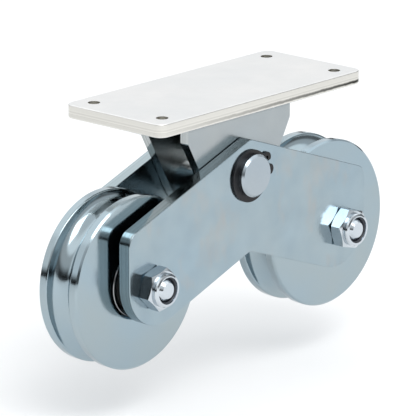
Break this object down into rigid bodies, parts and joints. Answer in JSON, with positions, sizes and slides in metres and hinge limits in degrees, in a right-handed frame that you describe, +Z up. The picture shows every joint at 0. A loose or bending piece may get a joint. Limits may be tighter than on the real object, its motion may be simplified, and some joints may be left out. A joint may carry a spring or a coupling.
{
  "type": "gate wheel carriage",
  "caption": "Rocking tandem wheel carriage for a sliding gate on a round rail, with a flat bolt-on mounting plate above.",
  "frame": {"origin": "centre of the mounting plate's top face, which is the centre of its four bolt holes", "axes": "+X along the rolling direction, towards the right wheel; +Y along the axles, towards the bolt heads; +Z up, out of the mounting plate"},
  "size_m": [0.265, 0.0752, 0.146],
  "materials": {
    "plate_zinc": "bright zinc plating, pale and satin",
    "bracket_zinc": "bright zinc plating",
    "weld_zinc": "zinc plated weld bead",
    "side_zinc": "bright zinc plating, slightly blue",
    "wheel_zinc": "turned, bright zinc plating, glossy",
    "fastener_zinc": "bright zinc plating",
    "pin_zinc": "turned, bright zinc plating",
    "black_phosphate": "black phosphated spring steel",
    "bush_bronze": "oiled sintered bronze",
    "spacer_steel": "turned, zinc plated",
    "bearing_steel": "ground bearing steel",
    "cage_steel": "pressed steel",
    "seal_rubber": "moulded rubber",
    "nylon": "dark nylon"
  },
  "bodies": {
    "mounting_head": {"bracket_weld_front": "weld_zinc", "bracket_weld_rear": "weld_zinc", "pivot_bracket": "bracket_zinc", "pivot_bush": "bush_bronze", "pivot_tube": "bracket_zinc", "top_plate": "plate_zinc"},
    "rocking_frame": {"left_axle_bolt": "fastener_zinc", "left_axle_nut": "fastener_zinc", "left_front_bearing_inner_ring": "bearing_steel", "left_front_spacer": "spacer_steel", "left_nut_insert": "nylon", "left_rear_bearing_inner_ring": "bearing_steel", "left_rear_spacer": "spacer_steel", "pivot_pin": "pin_zinc", "retaining_ring_front": "black_phosphate", "retaining_ring_rear": "black_phosphate", "right_axle_bolt": "fastener_zinc", "right_axle_nut": "fastener_zinc", "right_front_bearing_inner_ring": "bearing_steel", "right_front_spacer": "spacer_steel", "right_nut_insert": "nylon", "right_rear_bearing_inner_ring": "bearing_steel", "right_rear_spacer": "spacer_steel", "side_plate_front": "side_zinc", "side_plate_rear": "side_zinc"},
    "left_wheel_assembly": {"left_front_bearing_outer_ring": "bearing_steel", "left_front_bearing_seals": "seal_rubber", "left_rear_bearing_outer_ring": "bearing_steel", "left_rear_bearing_seals": "seal_rubber", "left_wheel": "wheel_zinc"},
    "right_wheel_assembly": {"right_front_bearing_outer_ring": "bearing_steel", "right_front_bearing_seals": "seal_rubber", "right_rear_bearing_outer_ring": "bearing_steel", "right_rear_bearing_seals": "seal_rubber", "right_wheel": "wheel_zinc"},
    "left_ball_sets": {"left_front_bearing_balls": "bearing_steel", "left_front_bearing_cage": "cage_steel", "left_rear_bearing_balls": "bearing_steel", "left_rear_bearing_cage": "cage_steel"},
    "right_ball_sets": {"right_front_bearing_balls": "bearing_steel", "right_front_bearing_cage": "cage_steel", "right_rear_bearing_balls": "bearing_steel", "right_rear_bearing_cage": "cage_steel"}
  },
  "joints": [
    {"name": "frame_rock", "type": "hinge", "parent": "mounting_head", "child": "rocking_frame", "pos_m": [0, 0, -0.0475], "axis": [0, 1, 0], "range_deg": [-24, 24]},
    {"name": "left_wheel_spin", "type": "hinge", "parent": "rocking_frame", "child": "left_wheel_assembly", "pos_m": [-0.0825, 0, -0.096], "axis": [0, 1, 0], "continuous": true},
    {"name": "left_ball_set_orbit", "type": "hinge", "parent": "rocking_frame", "child": "left_ball_sets", "pos_m": [-0.0825, 0, -0.096], "axis": [0, 1, 0], "continuous": true},
    {"name": "right_wheel_spin", "type": "hinge", "parent": "rocking_frame", "child": "right_wheel_assembly", "pos_m": [0.0825, 0, -0.096], "axis": [0, 1, 0], "continuous": true},
    {"name": "right_ball_set_orbit", "type": "hinge", "parent": "rocking_frame", "child": "right_ball_sets", "pos_m": [0.0825, 0, -0.096], "axis": [0, 1, 0], "continuous": true}
  ],
  "couplings": [
    {"joint": "left_ball_set_orbit", "follows": "left_wheel_spin", "ratio": 0.6178},
    {"joint": "right_ball_set_orbit", "follows": "right_wheel_spin", "ratio": 0.6178}
  ]
}
